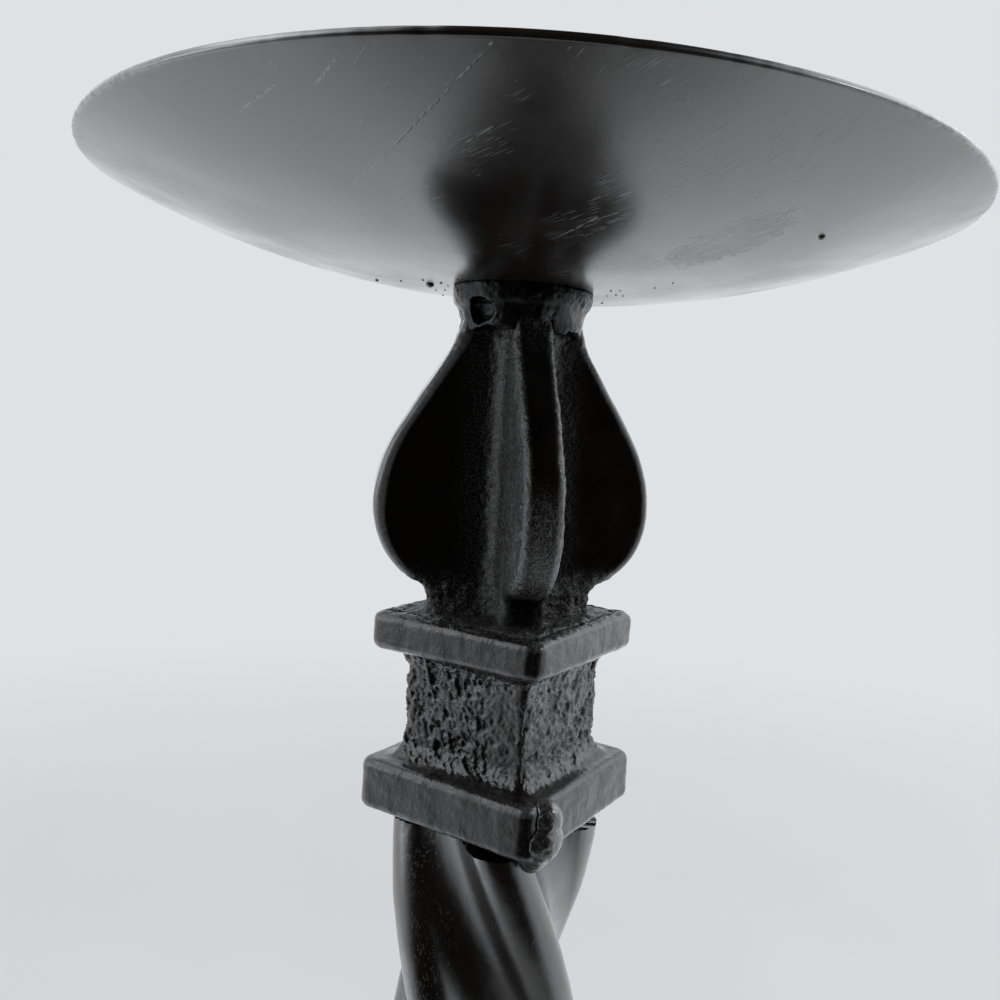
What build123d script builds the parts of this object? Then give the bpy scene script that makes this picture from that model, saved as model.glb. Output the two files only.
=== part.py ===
from build123d import *
import math
import os

# Candle holder with a twisted hollow stem between two cast knops, in millimetres.
# The origin is the middle of the underside and +Z is up. The plates and the square collars of
# the castings have their sides along X and Y, and the fins of the knops point at the corners.

# Square base: a felt sheet, a plate, a smaller plate on it and the weld run around that
felt_thickness = 2.0
felt_inset = 3.0
base_side = 140.0
base_thickness = 5.0
base_corner_radius = 4.0
base_edge_round = 1.5
step_side = 96.0
step_thickness = 5.0
step_corner_radius = 3.0
step_edge_round = 1.2
step_weld_leg = 2.5

# Square collar of a knop casting: the end against the stem, the waist and the end under the fins
stem_collar_side = 38.0
stem_collar_thickness = 9.4
stem_collar_top_round = 1.7
stem_collar_end_round = 1.4
waist_side = 26.5
waist_height = 20.5
waist_corner_radius = 1.0
fin_collar_side = 36.5
fin_collar_thickness = 7.2
fin_collar_top_round = 1.9
fin_collar_under_round = 1.9
collar_corner_radius = 2.8
stem_cove_radius = 3.8
fin_cove_radius = 3.9

# Four fins of a knop casting, an onion shape that rises from the collar to the neck
fin_thickness = 7.0
fin_reach = 25.8
fin_edge_round = 1.8
fin_root_radius = 3.5
fin_sink = 0.2
foot_cove_radius = 3.6
foot_cove_height = 2.15
lobe_radius = 15.0
lobe_height = 19.0
shoulder_radius = 28.0
flank_angle = 32.0
flare_radius = 16.0
neck_radius = 10.7
neck_land = 3.18

# Twisted square tube: its corners are rounded lobes and its flat faces have drawn in. The length
# is from collar to collar, and the tube's slanting ends stop short of the collars by the end gap.
stem_length = 170.6
tube_half_diagonal = 19.6
tube_corner_radius = 5.5
tube_mid_face = 12.3
tube_wall = 2.0
twist_pitch = 232.0
top_lobe_direction = -59.36
end_gap = 2.45
end_cut_angle = 1.9
end_cut_direction = 122.0

# Round spigot under a collar that holds the tube's end in line
spigot_length = 11.0
spigot_slack = 0.4

# Weld beads between the ends of the stem and the collars
bead_radius = 2.3
bead_length = 7.5
bead_reach = 17.9
bead_drop = 2.0
head_bead_directions = (78.0, 134.0, 190.0)
foot_bead_directions = (28.0, 118.0, 208.0, 298.0)

# Large weld run down from the front corner of the head casting's collar onto the tube
tongue_top_radius = 3.2
tongue_top_reach = 23.2
tongue_top_direction = -37.0
tongue_top_rise = 6.7
tongue_radius = 4.2
tongue_reach = 22.5
tongue_direction = -38.5
tongue_rise = 3.2
tongue_tip_radius = 1.9
tongue_tip_reach = 20.3
tongue_tip_direction = -39.5
tongue_tip_drop = 2.3

# Weld around the neck of a knop, with the pockets that it leaves between the fins
neck_weld_radius = 12.7
neck_weld_waist = 10.9
neck_weld_band = 1.6
neck_weld_height = 7.6
pocket_radius = 2.4
pocket_length = 5.6
pocket_reach = 11.6
pocket_depth = 4.8
pocket_direction = -97.0
small_pocket_radius = 0.9
small_pocket_length = 2.2
small_pocket_depth = 2.9
small_pocket_directions = (0.0, 90.0, 180.0)

# Drip pan: a dished sheet, flat in the middle, welded on a little out of level
pan_radius = 75.0
pan_depth = 14.5
pan_flat_radius = 8.0
pan_sheet = 1.2
pan_edge_round = 0.4
pan_lean_angle = 1.1
pan_lean_direction = 32.5

# Candle spike on the middle of the pan, with the weld around its foot
spike_radius = 2.5
spike_straight = 16.0
spike_point = 9.0
spike_tip_radius = 0.6
spike_foot_radius = 3.4
spike_foot_height = 2.4
spike_weld_leg = 2.0

# Cuts and the blanks that are cut run this far past what they meet
overrun = 2.0
# Slack for picking edges by where they lie
pick_slack = 0.01

# Levels, worked out from the sizes above
step_level = felt_thickness + base_thickness
foot_level = step_level + step_thickness
waist_top = stem_collar_thickness + waist_height
fin_level = waist_top + fin_collar_thickness


def polar(reach, direction, height=0):
    """Point at a distance from the stem's axis, in a direction in degrees from +X."""
    angle = math.radians(direction)
    return Vector(reach * math.cos(angle), reach * math.sin(angle), height)


def rounded_plate(side, thickness, corner_radius, level=0):
    """Square plate with rounded upright corners, centred on the axis."""
    outline = RectangleRounded(side, side, corner_radius)
    return extrude(Pos(0, 0, level) * outline, amount=thickness)


def half_width(edge):
    """Furthest distance of an edge from the axis, measured along X or Y."""
    box = edge.bounding_box()
    return max(box.max.X, box.max.Y, -box.min.X, -box.min.Y)


def is_outer_corner(edge, side, corner_radius):
    """True for an edge on the outside of a rounded square of that side."""
    centre = edge.center()
    flank = max(abs(centre.X), abs(centre.Y))
    return flank > side / 2 - corner_radius


def level_edges(shape, level):
    """Edges of a shape that lie flat at one height."""
    return shape.edges().filter_by_position(Axis.Z, level - pick_slack, level + pick_slack)


def seam_edges(shape, level, side):
    """Level edges no further out than a square of that side, such as a waist's seam."""
    return [edge for edge in level_edges(shape, level) if half_width(edge) < side / 2 + pick_slack]


def rim_edges(shape, level, side, corner_radius):
    """Level edges along the outside of a rounded square of that side."""
    edges = level_edges(shape, level)
    return [edge for edge in edges if is_outer_corner(edge, side, corner_radius)]


# Square base

def make_base_felt():
    """Felt sheet glued under the base plate."""
    return rounded_plate(base_side - 2 * felt_inset, felt_thickness, base_corner_radius)


def make_base_plate():
    """Base plate with its top edge rounded over."""
    plate = rounded_plate(base_side, base_thickness, base_corner_radius, felt_thickness)
    return fillet(level_edges(plate, step_level), base_edge_round)


def make_step_plate():
    """Smaller plate on the base plate, with its top edge rounded over."""
    plate = rounded_plate(step_side, step_thickness, step_corner_radius, step_level)
    return fillet(level_edges(plate, foot_level), step_edge_round)


def make_step_weld():
    """Fillet weld around the foot of the smaller plate."""
    side = step_side + 2 * step_weld_leg
    outline = RectangleRounded(side, side, step_corner_radius + step_weld_leg)
    bead = extrude(Pos(0, 0, step_level) * outline, amount=step_weld_leg, taper=45)
    return bead - rounded_plate(step_side, step_thickness, step_corner_radius, step_level)


# Knop casting, drawn with the end against the stem at zero and the neck at the top

def make_collar():
    """Square waist between two square flanges, with coves into both of them."""
    stem_end = rounded_plate(stem_collar_side, stem_collar_thickness, collar_corner_radius)
    waist = rounded_plate(waist_side, fin_level, waist_corner_radius)
    fin_end = rounded_plate(fin_collar_side, fin_collar_thickness, collar_corner_radius, waist_top)
    collar = stem_end + waist + fin_end
    collar = fillet(seam_edges(collar, stem_collar_thickness, waist_side), stem_cove_radius)
    collar = fillet(seam_edges(collar, waist_top, waist_side), fin_cove_radius)
    for level, side, edge_round in (
        (0, stem_collar_side, stem_collar_end_round),
        (stem_collar_thickness, stem_collar_side, stem_collar_top_round),
        (waist_top, fin_collar_side, fin_collar_under_round),
        (fin_level, fin_collar_side, fin_collar_top_round),
    ):
        collar = fillet(rim_edges(collar, level, side, collar_corner_radius), edge_round)
    return collar


def on_circle(centre, radius, angle):
    """Point on an upright circle that faces Y, at an angle in radians from +X."""
    return centre + Vector(radius * math.cos(angle), 0, radius * math.sin(angle))


def upright_arc(centre, radius, start, end):
    """Arc of an upright circle that faces Y, between two angles in radians."""
    return ThreePointArc(*[on_circle(centre, radius, angle) for angle in (start, (start + end) / 2, end)])


def fin_outline():
    """Onion outline of a fin above its collar, and the height where the neck starts.

    Going up it is a cove off the collar, the round lower lobe, a flatter shoulder, a straight
    flank and a flare into the neck. Each stretch is tangent to the next.
    """
    slope = math.radians(flank_angle)
    lobe = Vector(fin_reach - lobe_radius, 0, lobe_height)
    cove_run = math.sqrt((lobe_radius + foot_cove_radius) ** 2 - (lobe_height - foot_cove_height) ** 2)
    cove = Vector(lobe.X + cove_run, 0, foot_cove_height)
    cove_start = math.pi + math.asin((foot_cove_height + fin_sink) / foot_cove_radius)
    cove_end = math.atan2(lobe.Z - cove.Z, lobe.X - cove.X)
    shoulder = Vector(fin_reach - shoulder_radius, 0, lobe_height)
    flank_start = on_circle(shoulder, shoulder_radius, slope)
    flank_run = flank_start.X - neck_radius - flare_radius * (1 - math.cos(slope))
    neck_start = flank_start.Z + flank_run / math.tan(slope) + flare_radius * math.sin(slope)
    flare = Vector(neck_radius + flare_radius, 0, neck_start)
    outline = [
        upright_arc(cove, foot_cove_radius, cove_start, cove_end),
        upright_arc(lobe, lobe_radius, cove_end - math.pi, 0),
        upright_arc(shoulder, shoulder_radius, 0, slope),
        Line(flank_start, on_circle(flare, flare_radius, math.pi + slope)),
        upright_arc(flare, flare_radius, math.pi + slope, math.pi),
    ]
    return outline, neck_start


def make_fin_pair(outline, neck_start):
    """Two opposite fins as one slab, with the edges along the outline rounded."""
    top = neck_start + neck_land + overrun
    neck = Line((neck_radius, 0, neck_start), (neck_radius, 0, top))
    right = outline + [neck]
    left = [edge.mirror(Plane.YZ) for edge in right]
    foot = outline[0] @ 0
    ends = [
        Line((-neck_radius, 0, top), (neck_radius, 0, top)),
        Line((-foot.X, 0, foot.Z), (foot.X, 0, foot.Z)),
    ]
    slab = extrude(make_face(right + left + ends), amount=fin_thickness / 2, both=True)
    rim = []
    for edge in slab.edges():
        size = edge.bounding_box().size
        if size.Y < pick_slack < size.Z:
            rim.append(edge)
    return fillet(rim, fin_edge_round)


def make_fins():
    """Four fins that point at the collar's corners, with hollow roots between them."""
    outline, neck_start = fin_outline()
    pair = make_fin_pair(outline, neck_start)
    cross = pair + pair.rotate(Axis.Z, 90)
    roots = []
    for edge in cross.edges().filter_by(Axis.Z):
        if half_width(edge) < fin_thickness / 2 + pick_slack:
            roots.append(edge)
    fins = fillet(roots, fin_root_radius)
    return Pos(0, 0, fin_level) * fins.rotate(Axis.Z, 45)


knop_height = fin_level + fin_outline()[1] + neck_land
stem_bottom = foot_level + knop_height
stem_top = stem_bottom + stem_length
pan_level = stem_top + knop_height


def make_spigot():
    """Round spigot that stands in the tube's end, with a little slack to its drawn-in faces."""
    radius = tube_mid_face - tube_wall - spigot_slack
    return Pos(0, 0, -spigot_length / 2) * Cylinder(radius, spigot_length)


def make_knop():
    """Whole knop casting, still overlong at its neck, before it is cut to what it meets."""
    return make_spigot() + make_collar() + make_fins()


def stand(shape):
    """Move a shape from the knop's own place to the head, above the stem."""
    return Pos(0, 0, stem_top) * shape


def hang(shape):
    """Turn a shape from the knop's own place over and move it to the foot, below the stem."""
    return Pos(0, 0, stem_bottom) * shape.rotate(Axis.X, 180)


# Drip pan, drawn with the middle of its underside at zero

def pan_curve(inset):
    """Curve of the dish, a distance in from its underside.

    It is a spline along a round arc. The arc itself has its centre off the axis, so turned about
    the axis it makes a surface that crosses itself there and spoils the cuts at some sizes.
    """
    run = pan_radius - pan_flat_radius
    dish_radius = (run ** 2 + pan_depth ** 2) / (2 * pan_depth)
    centre = Vector(pan_flat_radius, 0, dish_radius)
    span = math.asin(run / dish_radius)
    arc = upright_arc(centre, dish_radius - inset, -math.pi / 2, span - math.pi / 2)
    return Spline(arc @ 0, arc @ 0.5, arc @ 1, tangents=(arc % 0, arc % 1))


def lean(shape):
    """Tip a shape from the pan's own place and move it onto the head casting."""
    hinge = Axis((0, 0, 0), polar(1, pan_lean_direction + 90))
    return Pos(0, 0, pan_level) * shape.rotate(hinge, pan_lean_angle)


def make_drip_pan():
    """Dished round sheet with a plain cut edge."""
    under = pan_curve(0)
    over = pan_curve(pan_sheet)
    outline = [
        Line((0, 0, 0), under @ 0),
        under,
        Line(under @ 1, over @ 1),
        over,
        Line(over @ 0, (0, 0, pan_sheet)),
        Line((0, 0, pan_sheet), (0, 0, 0)),
    ]
    pan = revolve(make_face(outline), Axis.Z)
    cut_edges = [edge for edge in pan.edges() if half_width(edge) > pan_radius - 2 * pan_sheet]
    return lean(fillet(cut_edges, pan_edge_round))


def make_pan_space():
    """Everything above the pan's underside, to cut what stands up against it."""
    under = pan_curve(0)
    ceiling = pan_depth + overrun
    outline = [
        Line((0, 0, 0), under @ 0),
        under,
        Line(under @ 1, (pan_radius, 0, ceiling)),
        Line((pan_radius, 0, ceiling), (0, 0, ceiling)),
        Line((0, 0, ceiling), (0, 0, 0)),
    ]
    return lean(revolve(make_face(outline), Axis.Z))


def make_candle_spike():
    """Round pricket with an upset foot and a long ground point."""
    shoulder = pan_sheet + spike_foot_height
    point = shoulder + spike_straight
    tip = point + spike_point
    corners = [
        (0, 0, pan_sheet),
        (spike_foot_radius, 0, pan_sheet),
        (spike_foot_radius, 0, shoulder),
        (spike_radius, 0, shoulder),
        (spike_radius, 0, point),
        (spike_tip_radius, 0, tip),
        (0, 0, tip),
    ]
    return lean(revolve(make_face(Polyline(*corners, close=True)), Axis.Z))


def make_spike_weld():
    """Fillet weld around the foot of the spike, with a hollow face."""
    foot = Vector(spike_foot_radius + spike_weld_leg, 0, pan_sheet)
    top = Vector(spike_foot_radius, 0, pan_sheet + spike_weld_leg)
    centre = Vector(foot.X, 0, top.Z)
    outline = [
        Line((spike_foot_radius, 0, pan_sheet), foot),
        upright_arc(centre, spike_weld_leg, -math.pi / 2, -math.pi),
        Line(top, (spike_foot_radius, 0, pan_sheet)),
    ]
    return lean(revolve(make_face(outline), Axis.Z))


# Weld around the neck of a knop, drawn in the knop's own place

def weld_capsule(radius, length, reach, direction, height):
    """Bead with round ends that lies level, square to its direction from the axis."""
    rod = Cylinder(radius, length - 2 * radius)
    ends = [Pos(0, 0, side * (length / 2 - radius)) * Sphere(radius) for side in (-1, 1)]
    bead = rod + ends
    return Pos(*polar(reach, direction, height)) * Rot(0, 0, direction) * Rot(90, 0, 0) * bead


def make_neck_weld():
    """Hollow-sided ring around the neck, with a pocket left in it between each two fins."""
    foot = knop_height - neck_weld_height
    band = knop_height - neck_weld_band
    top = knop_height + overrun
    sag = (neck_weld_waist + neck_weld_radius) / 2 - (neck_weld_radius - neck_weld_waist) / 4
    outline = [
        Line((0, 0, foot), (neck_weld_waist, 0, foot)),
        ThreePointArc((neck_weld_waist, 0, foot), (sag, 0, (foot + band) / 2), (neck_weld_radius, 0, band)),
        Line((neck_weld_radius, 0, band), (neck_weld_radius, 0, top)),
        Line((neck_weld_radius, 0, top), (0, 0, top)),
        Line((0, 0, top), (0, 0, foot)),
    ]
    ring = revolve(make_face(outline), Axis.Z)
    ring -= weld_capsule(
        pocket_radius, pocket_length, pocket_reach, pocket_direction, knop_height - pocket_depth
    )
    for direction in small_pocket_directions:
        ring -= weld_capsule(
            small_pocket_radius, small_pocket_length, neck_weld_radius, direction,
            knop_height - small_pocket_depth,
        )
    return ring


# Twisted stem

def tube_outline(inset):
    """Face across the tube: four round lobes joined by hollow sides, a distance in from the skin."""
    lobe_reach = tube_half_diagonal - tube_corner_radius
    shortfall = tube_corner_radius - tube_mid_face
    hollow_reach = (lobe_reach ** 2 - shortfall ** 2) / (2 * shortfall + math.sqrt(2) * lobe_reach)
    hollow_radius = hollow_reach - tube_mid_face + inset
    lobe_radius_here = tube_corner_radius - inset
    edges = []
    for quarter in range(4):
        direction = quarter * 90
        lobe = polar(lobe_reach, direction)
        before = polar(hollow_reach, direction - 45)
        after = polar(hollow_reach, direction + 45)
        join_before = lobe + (before - lobe).normalized() * lobe_radius_here
        join_after = lobe + (after - lobe).normalized() * lobe_radius_here
        crest = lobe + polar(1, direction) * lobe_radius_here
        next_lobe = polar(lobe_reach, direction + 90)
        next_join = next_lobe + (after - next_lobe).normalized() * lobe_radius_here
        mid_face = after - polar(1, direction + 45) * hollow_radius
        edges.append(ThreePointArc(join_before, crest, join_after))
        edges.append(ThreePointArc(join_after, mid_face, next_join))
    return make_face(edges).face()


def twisted_bar(inset, length):
    """Left-hand twisted bar of the tube's outline, standing on zero, with a lobe on +X there."""
    turn = -360 * length / twist_pitch
    return Solid.extrude_linear_with_rotation(tube_outline(inset), (0, 0, 0), (0, 0, length), turn)


def end_plane(level, side):
    """Plane of a slanting saw cut that comes as near as the end gap to a level face."""
    slant = math.radians(end_cut_angle)
    middle = level - side * (end_gap + tube_half_diagonal * math.tan(slant))
    low_side = polar(math.sin(slant), end_cut_direction, math.cos(slant))
    return Plane(origin=(0, 0, middle), z_dir=low_side)


def place_bar(inset):
    """Twisted bar that runs past both ends of the stem, turned to its place there."""
    length = stem_length + 2 * overrun
    top_turn = top_lobe_direction + 360 * (length - overrun) / twist_pitch
    return Pos(0, 0, stem_bottom - overrun) * twisted_bar(inset, length).rotate(Axis.Z, top_turn)


def make_stem_core():
    """Stem as a full bar with its two slanting end cuts."""
    bar = place_bar(0)
    bar = split(bar, end_plane(stem_top, 1), keep=Keep.BOTTOM)
    return split(bar, end_plane(stem_bottom, -1), keep=Keep.TOP)


def make_twisted_stem(core):
    """Hollow stem."""
    return core - place_bar(tube_wall)


# Welds between the stem and the collars

def tapered_run(lower, lower_radius, upper, upper_radius):
    """Two balls and the cone that touches both, between two places."""
    run = (upper - lower).length
    lift = (upper_radius - lower_radius) / run
    spread = math.sqrt(1 - lift ** 2)
    lower_join = Vector(lower_radius * spread, 0, -lower_radius * lift)
    upper_join = Vector(upper_radius * spread, 0, run - upper_radius * lift)
    turn = math.asin(lift)
    lower_centre = Vector(0, 0, 0)
    upper_centre = Vector(0, 0, run)
    outline = [
        upright_arc(lower_centre, lower_radius, -math.pi / 2, -turn),
        Line(lower_join, upper_join),
        upright_arc(upper_centre, upper_radius, -turn, math.pi / 2),
        Line((0, 0, run + upper_radius), (0, 0, -lower_radius)),
    ]
    drop = revolve(make_face(outline), Axis.Z)
    return Plane(origin=lower, z_dir=upper - lower) * drop


def make_tongue():
    """Large weld run: a lump on the side of the collar's corner, and a drop that tapers down the tube."""
    top = polar(tongue_top_reach, tongue_top_direction, stem_top + tongue_top_rise)
    middle = polar(tongue_reach, tongue_direction, stem_top + tongue_rise)
    tip = polar(tongue_tip_reach, tongue_tip_direction, stem_top - tongue_tip_drop)
    return tapered_run(tip, tongue_tip_radius, middle, tongue_radius) + Pos(*top) * Sphere(tongue_top_radius)


def make_head_beads():
    """Three plain beads and the large run at the front corner."""
    height = stem_top - bead_drop
    beads = [weld_capsule(bead_radius, bead_length, bead_reach, way, height) for way in head_bead_directions]
    return beads + [make_tongue()]


def make_foot_beads():
    """Four plain beads around the lower end of the stem."""
    height = stem_bottom + bead_drop
    return [weld_capsule(bead_radius, bead_length, bead_reach, way, height) for way in foot_bead_directions]


def seat_beads(beads, casting, core):
    """Cut beads back to the metal that they lie on, as a group of separate solids."""
    seated = [(bead - casting - core).solids().sort_by(SortBy.VOLUME)[-1] for bead in beads]
    return Compound(children=seated)


def make_parts():
    """All pieces of the candle holder by name, from the ground up."""
    knop = make_knop()
    neck_weld = make_neck_weld()
    pan_space = make_pan_space()
    step_space = rounded_plate(step_side, step_thickness, step_corner_radius, step_level)
    foot_casting = hang(knop) - step_space
    head_casting = stand(knop) - pan_space
    core = make_stem_core()
    return {
        "base_felt": make_base_felt(),
        "base_plate": make_base_plate(),
        "step_plate": make_step_plate(),
        "step_weld": make_step_weld(),
        "foot_neck_weld": hang(neck_weld) - step_space - foot_casting,
        "foot_casting": foot_casting,
        "lower_stem_welds": seat_beads(make_foot_beads(), foot_casting, core),
        "twisted_stem": make_twisted_stem(core),
        "upper_stem_welds": seat_beads(make_head_beads(), head_casting, core),
        "head_casting": head_casting,
        "head_neck_weld": stand(neck_weld) - pan_space - head_casting,
        "drip_pan": make_drip_pan(),
        "candle_spike": make_candle_spike(),
        "spike_weld": make_spike_weld(),
    }


os.makedirs("parts", exist_ok=True)
for name, shape in make_parts().items():
    export_step(shape, f"parts/{name}.step")
print("rim height", pan_level + pan_depth)
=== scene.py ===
import math

import bmesh
import bpy
import numpy as np
from mathutils import Matrix, Vector, noise


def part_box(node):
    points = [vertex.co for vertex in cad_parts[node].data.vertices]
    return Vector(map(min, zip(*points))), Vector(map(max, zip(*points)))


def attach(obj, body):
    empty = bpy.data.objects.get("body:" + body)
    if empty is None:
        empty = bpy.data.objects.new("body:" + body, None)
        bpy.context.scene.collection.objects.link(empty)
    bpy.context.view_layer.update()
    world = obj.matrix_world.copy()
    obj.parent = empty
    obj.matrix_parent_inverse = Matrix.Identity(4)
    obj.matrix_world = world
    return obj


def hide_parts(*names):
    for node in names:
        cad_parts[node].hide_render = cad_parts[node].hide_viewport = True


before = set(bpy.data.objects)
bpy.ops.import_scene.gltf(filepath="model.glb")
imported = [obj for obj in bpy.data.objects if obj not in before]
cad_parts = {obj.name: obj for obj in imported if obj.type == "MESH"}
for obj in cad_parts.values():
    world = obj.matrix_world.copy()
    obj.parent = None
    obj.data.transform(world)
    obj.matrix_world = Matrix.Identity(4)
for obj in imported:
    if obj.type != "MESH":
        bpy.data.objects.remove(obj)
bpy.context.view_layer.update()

# Lengths are in metres and angles in degrees, unless a comment says otherwise.
# A noise size is the width of its bumps, and a seed only moves the noise.
# A band of two numbers says where something starts and where it is full. A band of four says where
# it starts, is full, is still full and ends.

# The camera, by its place round the holder's axis, its aim and the photograph's focal length, with
# its sensor in millimetres
picture_width = 1000
camera_reach = 0.16765
camera_direction = -57.46
camera_height = 0.35179
camera_aim_direction = 123.32
camera_aim_rise = -5.237
camera_roll = 2.945
focal_pixels = 903.25
sensor_width = 36.0
camera_clip = (0.005, 50)

# The dish of the drip pan: its radius, depth and sheet, the flat in its middle and its lean
pan_radius = 0.075
pan_depth = 0.0145
pan_flat_radius = 0.008
pan_sheet = 0.0012
pan_edge_round = 0.0004
pan_level = 0.3747237
pan_lean_angle = 1.1
pan_lean_direction = 32.5

# How finely the pan is divided: around, over its flat and its dish on each side, and on its edge
pan_segments = 720
under_steps = (10, 120)
over_steps = (6, 60)
edge_steps = 5

# How wavy the pan is and how deep its edge is dented, and the sizes of both
pan_wave_height = 0.00005
pan_wave_size = 0.022
dent_depth = 0.00014
dent_size = 0.004

# Bands on the pan by reach from its middle, by depth in from its edge, and by distance to the right
# of the picture as a share of its radius
wave_reaches = (0.014, 0.030)
wave_depths = (0.0005, 0.0050)
dent_depths = (0.0016, 0.0004)
# Depths over which the painted highlight on the cut edge comes in
edge_highlight_depths = (0.0007, 0.0003)
unmarked_depths = (0.0010, 0.0005)
dented_side = (0.80, 0.95)
# Sides of the pan, left and right alike, where the cut edge has a painted highlight
edge_highlight_sides = (0.45, 0.75)

# Scratches on the underside of the pan, each from one end to the other, by x and y
pan_streaks = (
    ((-0.0192, -0.0391), (0.0048, -0.0512)),
    ((0.0048, -0.0512), (0.0229, -0.0595)),
    ((0.0229, -0.0595), (0.0368, -0.0650)),
    ((0.0144, -0.0675), (0.0197, -0.0696)),
    ((0.0021, -0.0670), (0.0102, -0.0691)),
    ((0.0252, -0.0539), (0.0302, -0.0551)),
    ((0.0224, -0.0288), (0.0322, -0.0326)),
)
pan_streak_width = 0.00016
pan_streak_taper = 0.0008

# The scuffed oval on the pan, by the pixels of the photograph at which it shows
scuff_middle = (735, 238)
scuff_half_length = 70
scuff_half_width = 17
scuff_tilt = -20.4

# Weld spatter on the pan: the pixel at which each bead shows, and its radius in pixels
spatter = (
    (430, 284, 4.5), (401, 281, 1.2), (423, 280, 1.3), (441, 283, 1.5), (436, 290, 1.0),
    (445, 290, 1.0), (448, 286, 0.9), (443, 295, 1.1), (457, 279, 1.1), (602, 303, 1.2),
    (611, 291, 1.1), (616, 295, 1.1), (623, 296, 1.0), (620, 291, 0.9), (607, 296, 0.9),
    (655, 288, 1.0), (673, 283, 1.0), (377, 280, 2.0), (822, 237, 3.6),
)

# A bead's length, width and height, and how far its middle stands off, as shares of its radius
bead_shares = (1.0, 0.9, 0.65)
bead_lift = 0.2

# Heights on a knop casting above the end that meets the stem
spigot_length = 0.011
flange_top = 0.0094
waist_end = 0.0299
fin_level = 0.0371
knop_height = 0.0961

# Bands on a knop casting by height, above that end for the waist and the neck and above the feet of
# the fins for the rest
waist_heights = (flange_top - 0.0004, flange_top + 0.0020, waist_end - 0.0020, waist_end)
neck_heights = (knop_height - 0.014, knop_height - 0.004)
fin_heights = (-0.0006, 0.0004)
top_face_heights = (-0.0012, -0.0004)
feet_fade = (0.003, 0.010)
groove_heights = (-0.0008, -0.0002, 0.0004, 0.0012)
melt_heights = (-0.0010, -0.0002, 0.0025, 0.0080)
# Painted shade at the feet of the fins, by height
painted_shade_heights = (-0.0012, 0.0008, 0.0050, 0.0105)
# Painted highlight along the fins' outer edges, by height
rim_highlight_heights = (0.004, 0.010)
# Painted sheen on the lower part of the front fin's edge face, fading out by height
sheen_fade = (0.018, 0.028)

# Bands on a knop casting by the distance from its middle to the nearest flat side
brushed_flanks = (0.0155, 0.0168)
top_face_fade = (0.0150, 0.0168)
groove_flanks = (0.0150, 0.0154, 0.0157, 0.0163)

# Bands on a knop casting by reach from its axis or out along a fin, by distance aside from a fin's
# middle, and by depth in from the fins' outer edge
root_fade = (0.0050, 0.0140)
grain_reaches = (0.002, 0.008)
grain_asides = (0.0018, 0.0034, 0.0040, 0.0080)
# Painted sheen on the front fin's edge face, by reach out along the fin and distance aside from its middle
sheen_reaches = (0.0150, 0.0185)
sheen_asides = (0.0022, 0.0032)
# Painted shade at the feet of the fins, by reach out along a fin and distance aside from its middle
painted_shade_reaches = (0.0120, 0.0140, 0.0168, 0.0200)
painted_shade_asides = (0.0026, 0.0054)
# Painted highlight along the fins' outer edges: wide on the left fin and narrow on the right, by depth in
# from the edge
left_highlight_depths = (0.0020, 0.0014)
right_highlight_depths = (0.0008, 0.0003)
highlight_aside = 0.006

# The strip of the waist's left face, next to its front corner, where most pits are missing, and
# how many are
strip_band = (-0.0080, -0.0062, -0.0004, 0.0004)
strip_missing_pits = 0.85

# How rough each zone of a knop casting is, and how much dust it has, from 0 to 1; on the front fin's edge the
# dust is a painted sheen
rough_shares = {
    "waist": 0.85, "feet": 1.0, "neck": 0.8, "roots": 0.6, "grainy": 0.7, "fins": 0.08, "brushed": 0.05,
}
dust_and_sheen_shares = {
    "waist": 0.10, "feet": 1.0, "neck": 0.3, "roots": 0.55, "grainy": 0.7, "front_edge_sheen": 0.5,
}

# Voxels of the two knop castings, and how often the joins of the fins are smoothed at one of them
head_voxel = 0.00028
foot_voxel = 0.00045
melt_rounds = 20

# Lumps on a knop casting: the zone, and their height, size, octaves and seed
casting_lumps = (
    ("whole", 0.00016, 0.0080, 2, 1.7),
    ("rough", 0.00018, 0.0011, 3, 4.1),
    ("clotted", 0.00042, 0.0028, 3, 7.9),
    ("brushed", 0.00007, 0.0024, 3, 9.4),
    ("waist", 0.00009, 0.0007, 2, 5.7),
)

# Hollows in a knop casting: the broken groove on its flange and the craters where it is rough
groove_depth = 0.00050
groove_break_size = 0.0022
groove_break_band = (-0.45, 0.15)
crater_depth = 0.00030
crater_size = 0.0017
crater_share = 0.5

# Pits in the waist of a knop casting, in two sizes: the band of the noise that makes them, how far
# they are drawn out along their slant, and how much less they change inward
deep_pit_depth = 0.00046
deep_pit_size = 0.0018
small_pit_depth = 0.00030
small_pit_size = 0.0009
pit_band = (0.14, 0.52)
pit_stretch = 1.9
pit_inward_share = 0.3

# How dark the painted shade in the groove and in the deep pits is, from 0 to 1
groove_shade = 0.9
pit_shade = 0.35

# The twisted tube: its section, its twist and its slanting end cuts
tube_half_diagonal = 0.0196
tube_corner_radius = 0.0055
tube_mid_face = 0.0123
tube_wall = 0.002
twist_pitch = 0.232
top_lobe_direction = -59.36
end_gap = 0.00245
end_cut_angle = 1.9
end_cut_direction = 122.0

# How finely the tube is divided: around, along, at each end in a share of its length, and inside
tube_segments = 480
tube_rings = 240
tube_end_rings = 9
tube_end_share = 0.015
tube_inner_rings = 80

# The tube's uneven skin and its ragged cuts, which fade out at a distance from the ends
tube_lumps = ((0.00013, 0.011, 2, 2.2), (0.00003, 0.0030, 2, 5.0))
tube_drop = 0.00005
jag_height = 0.00042
jag_start = 0.00012
jag_size = 0.0021
jag_reach = 0.0075

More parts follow.
